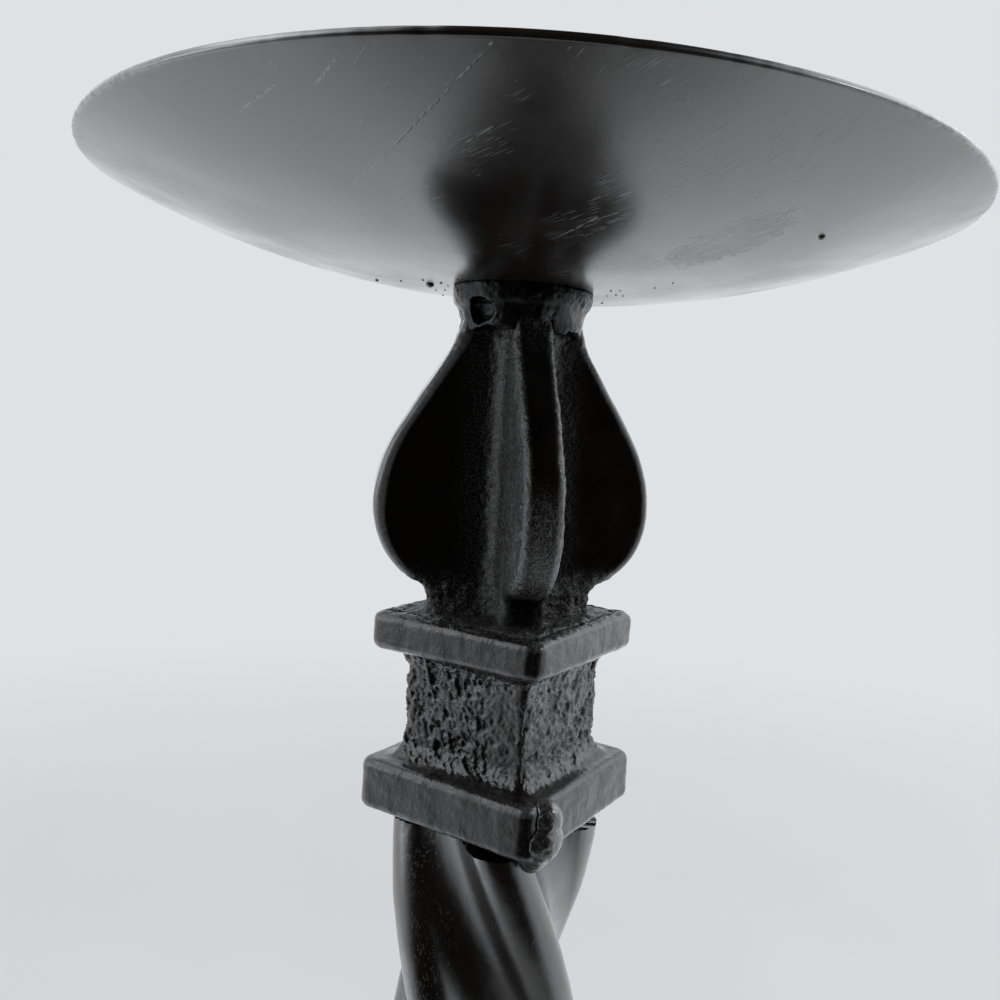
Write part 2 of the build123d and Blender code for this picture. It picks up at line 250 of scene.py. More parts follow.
# Each weld's voxel and the height of its lumps
weld_skins = {
    "head_neck_weld": (0.00022, 0.00016),
    "foot_neck_weld": (0.00035, 0.00016),
    "upper_stem_welds": (0.00020, 0.00015),
    "lower_stem_welds": (0.00025, 0.00015),
    "step_weld": (0.00040, 0.00020),
    "spike_weld": (0.00025, 0.00012),
}
weld_lump_size = 0.0022
weld_pit_size = 0.0014
weld_pit_share = 0.4

# The wavy edge of a burnt weld and the bead that runs along it, by height from that edge, and the
# size of the patches in its soot
ragged_height = 0.0008
ragged_size = 0.0034
ragged_band = (0.0008, 0.0045)
ridge_height = 0.00025
ridge_band = (0.0040, 0.0048, 0.0052, 0.0060)
soot_patch_size = 0.0045

# Colours of the surfaces
black_paint = (0.0024, 0.0024, 0.0027)
warm_black = (0.0085, 0.0046, 0.0027)
# Soot on the burnt welds, and the painted shade at the feet of the fins, in the groove and in the deep pits
# of the castings
soot_and_shade_black = (0.0006, 0.0006, 0.0006)
# Worn paint and scratches, and also the painted highlights on the fins' edges and the pan's cut edge and the
# painted glints on the castings
wear_and_highlight_grey = (0.20, 0.205, 0.21)
brushed_grey = (0.06, 0.06, 0.065)
# Dust on the rough cast, and also the painted sheen on the front fin's edge face
dust_and_sheen_grey = (0.215, 0.217, 0.215)
scuff_green = (0.10, 0.12, 0.09)
felt_black = (0.012, 0.012, 0.012)
felt_grey = (0.03, 0.029, 0.028)

# Gloss of the paint, of the casting and of the felt as refractive indices
paint_ior = 1.9
casting_ior = 1.5
felt_ior = 1.5

# Length of the pan's scratches through its sheet, so long that height doesn't change them, and the
# range of noise over which a scratch fades in
level_length = 10.0
scratch_softness = 0.05

# Colours of the background and of the surroundings that light the holder and show in its gloss
pale = (0.735, 0.762, 0.785, 1.0)
bright_around = (0.82, 0.85, 0.88)
dark_mirrored = (0.010, 0.009, 0.008)
dark_around = (0.028, 0.025, 0.022)

# The dark side that the gloss mirrors, by turn, and its dark ceiling, by the sine of the climb
dark_side = (-80, -32, 42, 74)
dark_ceiling = (0.76, 0.90)

# Brighter spots that the gloss mirrors: turn, climb, the angles at which each starts and is full,
# and strength
glow_spots = (
    (-101, -36, 22, 8, 0.8),
    (99, -52, 28, 10, 0.25),
    (-75, 15, 24, 8, 2.4),
    (-70, 50, 26, 10, 1.8),
    (118, 38, 28, 10, 1.8),
)

# How bright the surroundings are in the gloss, against 1 where they only light the holder
mirrored_strength = 1.5

# The floor: its radius, its lightness, and how far out it fades in the gloss and in the picture
floor_radius = 6.0
floor_tones = (0.73, 0.75)
mirrored_fade = (0.12, 0.30)
seen_fade = (0.45, 1.3)

# The sun by turn, climb, width and strength, and the lamps by turn from the camera's side, reach,
# height, size and power in watts
sun = (-100, 60, 35, 0.5)
lamps = {
    "left_softbox": (-85, 0.9, 0.45, 0.6, 0.5),
    "right_softbox": (113, 0.9, 0.40, 0.6, 0.6),
    "glint_lamp": (75, 0.70, 0.82, 0.11, 0.8),
}
lamp_target = Vector((0, 0, 0.33))


# Small helpers

def clamp(values):
    """Values held between 0 and 1."""
    return np.clip(values, 0.0, 1.0)


def rise(values, start, end):
    """Smooth step from 0 at start to 1 at end."""
    share = clamp((values - start) / (end - start))
    return share * share * (3 - 2 * share)


def hump(values, start, top_start, top_end, end):
    """Smooth step up and down again."""
    return rise(values, start, top_start) * (1 - rise(values, top_end, end))


def round_axis(direction, reach, height):
    """Place by its direction from the holder's axis, its reach from it and its height."""
    turn = math.radians(direction)
    return Vector((reach * math.cos(turn), reach * math.sin(turn), height))


def reach_of(places):
    """Distances of places from the holder's axis."""
    return np.hypot(places[:, 0], places[:, 1])


def outward(places):
    """Level directions from the holder's axis to places."""
    return places[:, :2] / reach_of(places).clip(0.001)[:, None]


def laid_down(places):
    """Places with their height taken away."""
    return places * np.array([1, 1, 0])


def new_object(name, data):
    """Object with its data, in the scene."""
    made = bpy.data.objects.new(name, data)
    bpy.context.scene.collection.objects.link(made)
    return made


def vertex_rows(mesh, kind):
    """Places or normals of a mesh's vertices as rows."""
    rows = np.empty(len(mesh.vertices) * 3)
    mesh.vertices.foreach_get(kind, rows)
    return rows.reshape(-1, 3)


def move_vertices(mesh, places):
    """Put a mesh's vertices at new places."""
    mesh.vertices.foreach_set("co", places.ravel())
    mesh.update()


def store(mesh, name, values):
    """Keep one number per vertex for the material to read."""
    layer = mesh.attributes.new(name, "FLOAT", "POINT")
    layer.data.foreach_set("value", values.astype(np.float32))


def lumps(places, size, octaves, seed):
    """Soft noise from about -1 to 1 whose bumps are of one size, with finer ones on them."""
    shift = Vector((seed, -2 * seed, 3 * seed))
    return np.array([noise.fractal(Vector(p) / size + shift, 1.0, 2.0, octaves) for p in places])


def pits(places, size, share, seed):
    """Round craters from 0 to 1 deep, in some of the cells of a size."""
    shift = Vector((seed, 2 * seed, -seed))
    depths = np.zeros(len(places))
    for index, place in enumerate(places):
        distances, centres = noise.voronoi(Vector(place) / size + shift)
        if noise.cell(centres[0] * 7.3) < share:
            depths[index] = max(0.0, 1 - distances[0] / 0.45)
    return depths * depths * (3 - 2 * depths)


def neighbours_mean(mesh, values, rounds):
    """Each vertex's value averaged with its neighbours', a few times."""
    ends = np.empty(len(mesh.edges) * 2, dtype=np.int64)
    mesh.edges.foreach_get("vertices", ends)
    first, second = ends.reshape(-1, 2).T
    count = len(mesh.vertices)
    degree = np.bincount(first, minlength=count) + np.bincount(second, minlength=count)
    rows = values if values.ndim == 2 else values[:, None]
    for _ in range(rounds):
        total = np.stack([
            np.bincount(first, column[second], count) + np.bincount(second, column[first], count)
            for column in rows.T
        ], 1)
        rows = total / np.maximum(degree, 1)[:, None]
    return rows if values.ndim == 2 else rows[:, 0]


def edge_wear(mesh, voxel):
    """How sharply a mesh bulges outward at each vertex, from 0 to 1 at about a third of a voxel."""
    places = vertex_rows(mesh, "co")
    pulled = neighbours_mean(mesh, places, 3)
    bulge = -np.einsum("ij,ij->i", pulled - places, vertex_rows(mesh, "normal")) / voxel
    return clamp(neighbours_mean(mesh, bulge, 1) / 0.35)


def remeshed(node_name, voxel, smoothing):
    """Copy of a CAD node as an even, closed mesh with its hard edges a little broken."""
    made = new_object(node_name + "_skin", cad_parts[node_name].data.copy())
    made.data.materials.clear()
    voxels = made.modifiers.new("voxels", "REMESH")
    voxels.mode = "VOXEL"
    voxels.voxel_size = voxel
    relax = made.modifiers.new("relax", "SMOOTH")
    relax.factor = 0.5
    relax.iterations = smoothing
    evaluated = made.evaluated_get(bpy.context.evaluated_depsgraph_get())
    mesh = bpy.data.meshes.new_from_object(evaluated)
    made.modifiers.clear()
    made.data = mesh
    mesh.name = made.name
    mesh.shade_smooth()
    return made


def dress(piece, material, node_name):
    """Give a piece its material and its body, and hide the CAD node it stands for."""
    piece.data.materials.clear()
    piece.data.materials.append(material)
    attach(piece, "root")
    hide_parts(node_name)


# The camera's directions, place and rays

def camera_axes():
    """Directions to the right, up and back of the camera."""
    aim = math.radians(camera_aim_direction)
    climb = math.radians(camera_aim_rise)
    forward = Vector((math.cos(aim) * math.cos(climb), math.sin(aim) * math.cos(climb), math.sin(climb)))
    level = Vector((math.sin(aim), -math.cos(aim), 0))
    upright = level.cross(forward)
    roll = math.radians(camera_roll)
    right = math.cos(roll) * level + math.sin(roll) * upright
    up = -math.sin(roll) * level + math.cos(roll) * upright
    return right, up, -forward


def camera_place():
    """Where the camera stands."""
    return round_axis(camera_direction, camera_reach, camera_height)


def camera_ray(across, down):
    """Direction from the camera through a pixel of the picture."""
    right, up, back = camera_axes()
    middle = picture_width / 2
    way = right * (across - middle) / focal_pixels + up * (middle - down) / focal_pixels - back
    return way.normalized()


# Building blocks of the materials

def feed(tree, sockets, inputs):
    """Set or link sockets, by their names or numbers."""
    for name, value in inputs.items():
        if isinstance(value, bpy.types.NodeSocket):
            tree.links.new(value, sockets[name])
        else:
            sockets[name].default_value = value


def add(tree, kind, inputs=None, **settings):
    """Node of a kind, with its settings made and its inputs set or linked."""
    node = tree.nodes.new(kind)
    for name, value in settings.items():
        setattr(node, name, value)
    feed(tree, node.inputs, inputs or {})
    return node


def empty_tree(owner):
    """Node tree of a material or a world, with nothing in it."""
    owner.use_nodes = True
    owner.node_tree.nodes.clear()
    return owner.node_tree


def new_material(name, ior):
    """Node material with its shader and output."""
    material = bpy.data.materials.new(name)
    tree = empty_tree(material)
    shader = add(tree, "ShaderNodeBsdfPrincipled", {"IOR": ior})
    add(tree, "ShaderNodeOutputMaterial", {"Surface": shader.outputs["BSDF"]})
    return material, tree, shader


def mix_shaders(tree, share, first, second):
    """Shader between two, by a share from 0 to 1."""
    return add(tree, "ShaderNodeMixShader", {0: share, 1: first, 2: second}).outputs[0]


def object_place(tree):
    """Place on the object, in its own coordinates."""
    return add(tree, "ShaderNodeTexCoord").outputs["Object"]


def places_of(tree, turn=(0, 0, 0), lengths=(1, 1, 1)):
    """Object coordinates along turned directions, each measured in a length of its own."""
    return add(tree, "ShaderNodeMapping", {
        "Vector": object_place(tree), "Rotation": [math.radians(angle) for angle in turn], "Scale": lengths,
    }, vector_type="TEXTURE").outputs["Vector"]


def noise_of(tree, size, detail, roughness=0.55, vector=None):
    """Noise whose bumps are of a size."""
    return add(tree, "ShaderNodeTexNoise", {
        "Vector": vector or places_of(tree), "Scale": 1 / size, "Detail": detail, "Roughness": roughness,
    }).outputs["Fac"]


def between(tree, value, low, high, to_low=0.0, to_high=1.0):
    """Value mapped smoothly from one range to another."""
    return add(tree, "ShaderNodeMapRange", {
        "Value": value, "From Min": low, "From Max": high, "To Min": to_low, "To Max": to_high,
    }, interpolation_type="SMOOTHSTEP").outputs["Result"]


def maths(tree, operation, first, second=0.5):
    """One sum on two values."""
    return add(tree, "ShaderNodeMath", {0: first, 1: second}, operation=operation).outputs["Value"]


def together(tree, operation, values):
    """One sum on several values in turn."""
    total = values[0]
    for value in values[1:]:
        total = maths(tree, operation, total, value)
    return total


def times(tree, *values):
    """Product of several values."""
    return together(tree, "MULTIPLY", values)


def plus(tree, *values):
    """Sum of several values."""
    return together(tree, "ADD", values)


def greatest(tree, *values):
    """Greatest of several values."""
    return together(tree, "MAXIMUM", values)


def blend_colours(tree, share, first, second):
    """Colour between two, by a share from 0 to 1."""
    ends = [(*colour, 1.0) if isinstance(colour, tuple) else colour for colour in (first, second)]
    return add(tree, "ShaderNodeMix", {0: share, 6: ends[0], 7: ends[1]}, data_type="RGBA").outputs[2]


def layered(tree, colour, *layers):
    """Colour with others laid over it in turn, each by its share."""
    for share, tone in layers:
        colour = blend_colours(tree, share, colour, tone)
    return colour


def kept(tree, name):
    """Number stored with the mesh under a name."""
    return add(tree, "ShaderNodeAttribute", attribute_name=name).outputs["Fac"]


def bump(tree, height, distance, strength=1.0, normal=None):
    """Bumped normal from a height."""
    inputs = {"Height": height, "Distance": distance, "Strength": strength}
    if normal is not None:
        inputs["Normal"] = normal
    return add(tree, "ShaderNodeBump", inputs).outputs["Normal"]


def scratches(tree, turn, lengths, start):
    """Fine lines, as long and wide as the lengths say, where their noise passes a start."""
    line = noise_of(tree, 1.0, 1.0, 0.5, places_of(tree, turn, lengths))
    return between(tree, line, start, start + scratch_softness)


def dot(tree, vector, way):
    """How far a vector goes along a fixed direction."""
    inputs = {0: vector, 1: way.to_3d()}
    return add(tree, "ShaderNodeVectorMath", inputs, operation="DOT_PRODUCT").outputs["Value"]


def streak(tree, place, start, end):
    """Single straight scratch between two places given by x and y, from 0 to 1."""
    start, end = Vector(start), Vector(end)
    length = (end - start).length
    way = (end - start) / length
    side = Vector((-way.y, way.x))
    aside = maths(tree, "SUBTRACT", dot(tree, place, side), side.dot(start))
    along = maths(tree, "SUBTRACT", dot(tree, place, way), way.dot(start))
    return times(
        tree,
        between(tree, maths(tree, "ABSOLUTE", aside), pan_streak_width, pan_streak_width * 0.3),
        between(tree, along, 0.0, pan_streak_taper),
        between(tree, along, length, length - pan_streak_taper),
    )


# Materials

def make_pan_steel():
    """Satin black paint on the pan, with a faint unevenness, fine scratches, a scuffed oval and a painted
    highlight on its cut edge.
    """
    material, tree, shader = new_material("pan_steel", paint_ior)
    place = object_place(tree)
    cloud = noise_of(tree, 0.018, 4.0)
    grain = noise_of(tree, 0.0011, 3.0)
    broken = between(tree, noise_of(tree, 0.0012, 2.0), 0.40, 0.56)
    left_mask = between(tree, noise_of(tree, 0.020, 2.0), 0.54, 0.66)
    right_mask = between(tree, noise_of(tree, 0.013, 2.0), 0.54, 0.70)
    lines = scratches(tree, (0, 0, -23), (0.010, 0.00028, level_length), 0.68)
    more = scratches(tree, (0, 0, -8), (0.0045, 0.00022, level_length), 0.64)
    drawn = greatest(tree, *[streak(tree, place, start, end) for start, end in pan_streaks])
    marks = greatest(
        tree, times(tree, lines, left_mask), times(tree, more, right_mask), times(tree, drawn, broken),
    )
    marks = times(tree, marks, between(tree, kept(tree, "sheet_edge"), 0.6, 0.2))
    scuff = plus(tree, kept(tree, "scuff"), between(tree, noise_of(tree, 0.0018, 3.0), 0.3, 0.7, -0.09, 0.09))
    inside = between(tree, scuff, 0.50, 0.53)
    border = times(tree, inside, between(tree, scuff, 0.58, 0.54))
    rubbed = scratches(tree, (0, 0, -12), (0.0065, 0.00042, level_length), 0.55)
    rubbed = times(tree, greatest(tree, rubbed, border), inside)
    relief = greatest(tree, marks, rubbed)
    colour = layered(
        tree, blend_colours(tree, cloud, black_paint, warm_black),
        (times(tree, inside, 0.22), scuff_green),
        # Painted highlight on the pan's cut edge at its left and right, broken up by noise
        (times(tree, kept(tree, "edge_highlight"), broken), wear_and_highlight_grey),
        (times(tree, relief, 0.5), wear_and_highlight_grey),
    )
    rough = between(tree, cloud, 0.3, 0.7, 0.20, 0.30)
    feed(tree, shader.inputs, {
        "Base Color": colour,
        "Roughness": plus(tree, rough, times(tree, greatest(tree, marks, inside), 0.12)),
        "Normal": bump(tree, relief, 0.00004, 0.8, bump(tree, grain, 0.00001)),
    })
    return material


def make_black_steel():
    """Satin black paint on the tube and the plates, with long fine scratches."""
    material, tree, shader = new_material("black_steel", paint_ior)
    cloud = noise_of(tree, 0.012, 4.0)
    grain = noise_of(tree, 0.0009, 3.0)
    mask = between(tree, noise_of(tree, 0.014, 2.0), 0.35, 0.70)
    lines = scratches(tree, (6, -14, 0), (0.00026, 0.00026, 0.008), 0.67)
    more = scratches(tree, (-10, 22, 0), (0.00020, 0.00020, 0.005), 0.68)
    dots = between(tree, noise_of(tree, 0.0004, 2.0), 0.73, 0.79)
    marks = greatest(tree, times(tree, lines, mask), times(tree, more, mask), times(tree, dots, mask))
    colour = blend_colours(tree, cloud, black_paint, warm_black)
    feed(tree, shader.inputs, {
        "Base Color": blend_colours(tree, times(tree, marks, 0.22), colour, wear_and_highlight_grey),
        "Roughness": plus(tree, between(tree, cloud, 0.3, 0.7, 0.24, 0.35), times(tree, marks, 0.2)),
        "Normal": bump(tree, marks, 0.00003, 0.6, bump(tree, grain, 0.000018)),
    })
    return material


def make_black_casting():
    """Black casting: brushed on the flanges, grainy and dusty where it was left as cast, with painted shade,
    highlights, sheen and glints.
    """
    material, tree, shader = new_material("black_casting", casting_ior)
    rough_cast, wear, brushed, painted_shade, dust_and_sheen, rim_highlight = (
        kept(tree, name) for name in ("rough_cast", "wear", "brushed", "painted_shade", "dust_and_sheen", "rim_highlight")
    )
    cloud = noise_of(tree, 0.006, 4.0)
    mottle = times(tree, between(tree, noise_of(tree, 0.0022, 4.0, 0.6), 0.40, 0.66), brushed)
    grain = noise_of(tree, 0.0006, 4.0, 0.65)
    strokes = noise_of(tree, 1.0, 2.0, vector=places_of(tree, (0, 0, 0), (0.00028, 0.00028, 0.009)))
    cross = noise_of(tree, 1.0, 2.0, vector=places_of(tree, (35, 35, 0), (0.0003, 0.0003, 0.006)))
    hatch = times(tree, greatest(tree, strokes, cross), brushed)
    broken = between(tree, plus(tree, wear, times(tree, grain, 0.5)), 0.47, 0.74)
    # Light grey dust in the rough places, which on the front fin's edge face is a painted sheen
    dust_and_sheen_mask = times(tree, between(tree, noise_of(tree, 0.00038, 3.0, 0.7), 0.47, 0.60), dust_and_sheen)
    # Light grey specks in the rough places: chips in the paint, and painted glints
    chips_and_glints = between(tree, noise_of(tree, 0.00022, 2.0), 0.67, 0.73)
    chips_and_glints = times(tree, chips_and_glints, plus(tree, times(tree, rough_cast, 0.8), 0.06))
    colour = layered(
        tree, blend_colours(tree, cloud, black_paint, warm_black),
        (times(tree, dust_and_sheen_mask, 0.9), dust_and_sheen_grey),
        (times(tree, between(tree, hatch, 0.50, 0.70), 0.35), brushed_grey),
        (times(tree, broken, 0.5), wear_and_highlight_grey),
        (times(tree, chips_and_glints, 0.6), wear_and_highlight_grey),
        # Painted shade, near black and with little gloss: at the feet of the fins, in the groove and in the
        # deep pits
        (painted_shade, soot_and_shade_black),
        # Painted highlight along the fins' outer edges
        (times(tree, rim_highlight, between(tree, grain, 0.30, 0.55, 0.45, 0.95)), wear_and_highlight_grey),
    )
    rough = plus(tree, times(tree, dust_and_sheen, 0.10), between(tree, cloud, 0.3, 0.7, 0.14, 0.25))
    grain_height = times(tree, grain, plus(tree, times(tree, dust_and_sheen, 0.85), 0.10))
    normal = bump(tree, hatch, 0.00004, 0.7, bump(tree, grain_height, 0.00040))
    feed(tree, shader.inputs, {
        "Base Color": colour,
        "Roughness": plus(tree, rough, times(tree, mottle, 0.10), times(tree, painted_shade, 0.2)),
        "Specular IOR Level": between(tree, painted_shade, 0.15, 0.9, 0.5, 0.06),
        "Normal": bump(tree, mottle, 0.00005, 0.7, normal),
    })
    return material


def make_weld_metal():
    """Black paint over smooth and lumpy weld metal, burnt to soot in places."""
    material, tree, shader = new_material("weld_metal", paint_ior)
    soot_and_painted_shade = kept(tree, "soot_and_painted_shade")
    cloud = noise_of(tree, 0.003, 4.0)
    grain = noise_of(tree, 0.0005, 3.0)
    feed(tree, shader.inputs, {
        "Base Color": layered(
            tree, blend_colours(tree, cloud, black_paint, warm_black),
            (between(tree, grain, 0.45, 0.70, 0.06, 0.36), wear_and_highlight_grey),
            (soot_and_painted_shade, soot_and_shade_black),
        ),
        "Roughness": between(tree, cloud, 0.3, 0.7, 0.18, 0.34),
        "Specular IOR Level": between(tree, soot_and_painted_shade, 0.0, 1.0, 0.5, 0.06),
        "Normal": bump(tree, grain, 0.00006),
    })
    return material


def make_felt():
    """Dense black felt with short matted fibres."""
    material, tree, shader = new_material("felt", felt_ior)
    feed(tree, shader.inputs, {
        "Base Color": blend_colours(tree, noise_of(tree, 0.008, 3.0), felt_black, felt_grey),
        "Roughness": 0.95,
        "Sheen Weight": 0.3,
        "Normal": bump(tree, noise_of(tree, 0.0004, 6.0, 0.7), 0.0004),
    })
    return material


# Knop castings

def knop_places(places, base_level, way):
    """Places in a casting's own directions: the foot casting is the head's, turned over."""
    return np.stack([places[:, 0], way * places[:, 1], way * (places[:, 2] - base_level)], 1)


def edge_depth(height, reach):
    """How far in from the fins' outer edge each place is, at its height."""
    step = 0.0005
    levels = np.arange(fin_level, knop_height, step)
    slots = np.clip(np.searchsorted(levels, height), 0, len(levels) - 1)
    widest = np.zeros(len(levels))
    np.maximum.at(widest, slots, reach)
    return np.interp(height, levels - step / 2, widest) - reach


def strongest(zones, shares):
    """The greatest of several zones, each times its share."""
    return clamp(np.maximum.reduce([share * zones[name] for name, share in shares.items()]))


def casting_zones(own):
    """Shares from 0 to 1 for each place on a knop casting, by what was done to it there and where shade,
    highlights and sheen are painted on it.
    """
    height = own[:, 2]
    above_feet = height - fin_level
    flank = np.abs(own[:, :2]).max(1)
    front = (own[:, 0] - own[:, 1]) / math.sqrt(2)
    side = (own[:, 0] + own[:, 1]) / math.sqrt(2)
    reach = np.hypot(front, side)
    waist = hump(height, *waist_heights)
    neck = rise(height, *neck_heights)
    fins = rise(above_feet, *fin_heights)
    top_face = rise(above_feet, *top_face_heights) * (1 - rise(flank, *top_face_fade))
    feet = np.maximum(top_face, fins) * (1 - rise(above_feet, *feet_fade))
    front_edge_sheen = rise(front, *sheen_reaches) * (1 - rise(np.abs(side), *sheen_asides))
    depth = edge_depth(height, reach)
    left_highlight = rise(depth, *left_highlight_depths) * (side < -highlight_aside)
    right_highlight = rise(depth, *right_highlight_depths) * (side > highlight_aside)
    strip = hump(own[:, 0] + own[:, 1], *strip_band) * (front > 0)
    # Painted shade at the feet of the fins, strongest at the front fin
    shade_spots = [
        strength * hump(out, *painted_shade_reaches) * (1 - rise(np.abs(aside), *painted_shade_asides))
        for out, aside, strength in (
            (front, side, 1.0), (-front, side, 0.6), (side, front, 0.6), (-side, front, 0.6),
        )
    ]
    zones = {
        "whole": np.ones(len(own)),
        "waist": waist,
        "neck": neck,
        "fins": fins,
        "feet": feet,
        "clotted": clamp(feet + neck),
        "brushed": clamp((1 - waist) * (1 - fins) * rise(flank, *brushed_flanks)),
        "roots": fins * (1 - rise(reach, *root_fade)),
        "grainy": fins * hump(np.abs(side), *grain_asides) * rise(front, *grain_reaches),
        # Painted sheen on the lower part of the front fin's edge face, laid on as dust
        "front_edge_sheen": fins * front_edge_sheen * (1 - rise(above_feet, *sheen_fade)),
        # Painted highlight along the fins' outer edges, wider on the left fin
        "rim_highlight": clamp(rise(above_feet, *rim_highlight_heights) * (1 - neck) * (left_highlight + 0.7 * right_highlight)),
        "pitted": waist * (1 - strip_missing_pits * strip),
        "groove": hump(above_feet, *groove_heights) * hump(flank, *groove_flanks),
        # Painted shade at the feet of the fins
        "soot_and_painted_shade": hump(above_feet, *painted_shade_heights) * np.maximum.reduce(shade_spots),
        "melt": hump(above_feet, *melt_heights),
    }
    zones["rough"] = strongest(zones, rough_shares)
    zones["dust_and_sheen"] = strongest(zones, dust_and_sheen_shares)
    return zones


def slanting(own, sense):
    """Places on the waist's faces with their measure along a slant drawn out."""
    around = own[:, 0] + own[:, 1]
    along = (around + sense * own[:, 2]) / math.sqrt(2)
    across = (around - sense * own[:, 2]) / math.sqrt(2)
    return np.stack([along / pit_stretch, across, pit_inward_share * (own[:, 0] - own[:, 1])], 1)


def waist_pits(own, size, seed):
    """Irregular deep pits, drawn out downward to the middle of the two front faces, from 0 to 1."""
    right = rise(own[:, 0] + own[:, 1], -0.0006, 0.0006)
    left_noise = lumps(slanting(own, -1), size, 3, seed)
    right_noise = lumps(slanting(own, 1), size, 3, seed + 3.7)
    return rise(left_noise * (1 - right) + right_noise * right, *pit_band)


def make_casting(node_name, voxel, base_level, way):
    """Knop casting with a pitted waist, rough fin feet and roots and brushed flanges."""
    piece = remeshed(node_name, voxel, 3)
    mesh = piece.data
    wear = edge_wear(mesh, voxel)
    places = vertex_rows(mesh, "co")
    zones = casting_zones(knop_places(places, base_level, way))
    melted = neighbours_mean(mesh, places, round(melt_rounds * (head_voxel / voxel) ** 2))
    places += zones["melt"][:, None] * (melted - places)
    move_vertices(mesh, places)
    normals = vertex_rows(mesh, "normal")
    own = knop_places(places, base_level, way)
    rough, pitted = zones["rough"], zones["pitted"]
    deep = waist_pits(own, deep_pit_size, 6.1)
    small = waist_pits(own, small_pit_size, 2.9)
    groove = zones["groove"] * rise(lumps(own, groove_break_size, 3, 3.1), *groove_break_band)
    shift = np.zeros(len(own))
    for zone, height, size, octaves, seed in casting_lumps:
        shift += zones[zone] * height * lumps(own, size, octaves, seed)
    shift -= rough * (1 - zones["waist"]) * crater_depth * pits(own, crater_size, crater_share, 2.3)
    shift -= pitted * (deep_pit_depth * deep + small_pit_depth * small)
    shift -= groove_depth * groove
    places += normals * shift[:, None]
    move_vertices(mesh, places)
    # Painted shade: at the feet of the fins, in the groove and in the deep pits of the waist
    painted_shade_share = np.maximum.reduce([zones["soot_and_painted_shade"], groove_shade * groove, pit_shade * pitted * deep])
    store(mesh, "painted_shade", clamp(painted_shade_share))
    store(mesh, "rough_cast", rough)
    store(mesh, "wear", wear)
    for name in ("dust_and_sheen", "rim_highlight", "brushed"):
        store(mesh, name, zones[name])
    return piece


# Twisted stem

def tube_reach(turns, inset):
    """How far the tube's skin is from its axis, or a distance in from it, by the angle from a lobe."""
    lobe_reach = tube_half_diagonal - tube_corner_radius
    shortfall = tube_corner_radius - tube_mid_face
    hollow_reach = (lobe_reach ** 2 - shortfall ** 2) / (2 * shortfall + math.sqrt(2) * lobe_reach)
    hollow_radius = hollow_reach - tube_mid_face + inset
    lobe_radius = tube_corner_radius - inset
    lobe = Vector((lobe_reach, 0))
    hollow = Vector((hollow_reach, hollow_reach)) / math.sqrt(2)
    join = lobe + (hollow - lobe).normalized() * lobe_radius
    quarter = math.pi / 2
    from_lobe = np.abs((turns + quarter / 2) % quarter - quarter / 2)
    from_hollow = quarter / 2 - from_lobe
    lobe_part = np.sqrt(np.maximum(0, lobe_radius ** 2 - (lobe_reach * np.sin(from_lobe)) ** 2))
    hollow_part = np.sqrt(np.maximum(0, hollow_radius ** 2 - (hollow_reach * np.sin(from_hollow)) ** 2))
    on_lobe = lobe_reach * np.cos(from_lobe) + lobe_part
    on_hollow = hollow_reach * np.cos(from_hollow) - hollow_part
    return np.where(from_lobe < math.atan2(join.y, join.x), on_lobe, on_hollow)


def cut_level(level, side, places):
    """Height of a slanting saw cut at places given by x and y."""
    slope = math.tan(math.radians(end_cut_angle))
    direction = math.radians(end_cut_direction)
    middle = level - side * (end_gap + tube_half_diagonal * slope)
    return middle - slope * (places[:, 0] * math.cos(direction) + places[:, 1] * math.sin(direction))


def tube_ring(share, inset, top_level, bottom_level):
    """Ring of places around the tube at a share of its length, on its skin or in from it."""
    turns = np.linspace(0, math.tau, tube_segments, endpoint=False)
    reach = tube_reach(turns, inset)
    height = np.full(tube_segments, bottom_level + share * (top_level - bottom_level))
    for _ in range(3):
        twist = math.radians(top_lobe_direction) + math.tau * (top_level - height) / twist_pitch
        flat = np.stack([reach * np.cos(turns + twist), reach * np.sin(turns + twist)], 1)
        high = cut_level(top_level, 1, flat)
        low = cut_level(bottom_level, -1, flat)
        height = low + share * (high - low)
    return np.column_stack([flat, height])


def make_stem(top_level, bottom_level):
    """Twisted tube with a faintly uneven skin and ragged saw cuts at its ends."""
    ends = np.linspace(0, tube_end_share, tube_end_rings, endpoint=False)
    middle = np.linspace(tube_end_share, 1 - tube_end_share, tube_rings)
    shares = np.concatenate([ends, middle, 1 - ends[::-1]])
    outer = [tube_ring(share, 0, top_level, bottom_level) for share in shares]
    inner_shares = np.linspace(1, 0, tube_inner_rings)
    inner = [tube_ring(share, tube_wall, top_level, bottom_level) for share in inner_shares]
    places = np.concatenate(outer + inner)
    on_skin = np.repeat([1.0] * len(outer) + [0.0] * len(inner), tube_segments)
    wave = sum(height * lumps(places, size, octaves, seed) for height, size, octaves, seed in tube_lumps)
    places[:, :2] += outward(places) * (on_skin * (wave - tube_drop))[:, None]
    near_top = rise(places[:, 2], top_level - jag_reach, top_level - end_gap)
    near_bottom = 1 - rise(places[:, 2], bottom_level + end_gap, bottom_level + jag_reach)
    jag = jag_height * np.abs(lumps(laid_down(places), jag_size, 4, 8.3)) + jag_start
    places[:, 2] += jag * (near_bottom - near_top)
    count = len(outer) + len(inner)
    step = np.arange(tube_segments)
    following = (step + 1) % tube_segments
    faces = []
    for index in range(count):
        lower, upper = index * tube_segments, (index + 1) % count * tube_segments
        faces.append(np.stack([lower + step, lower + following, upper + following, upper + step], 1))
    mesh = bpy.data.meshes.new("twisted_stem_skin")
    mesh.from_pydata(places.tolist(), [], np.concatenate(faces).tolist())
    mesh.shade_smooth()
    mesh.set_sharp_from_angle(angle=math.radians(55))
    return new_object("twisted_stem_skin", mesh)


# Welds

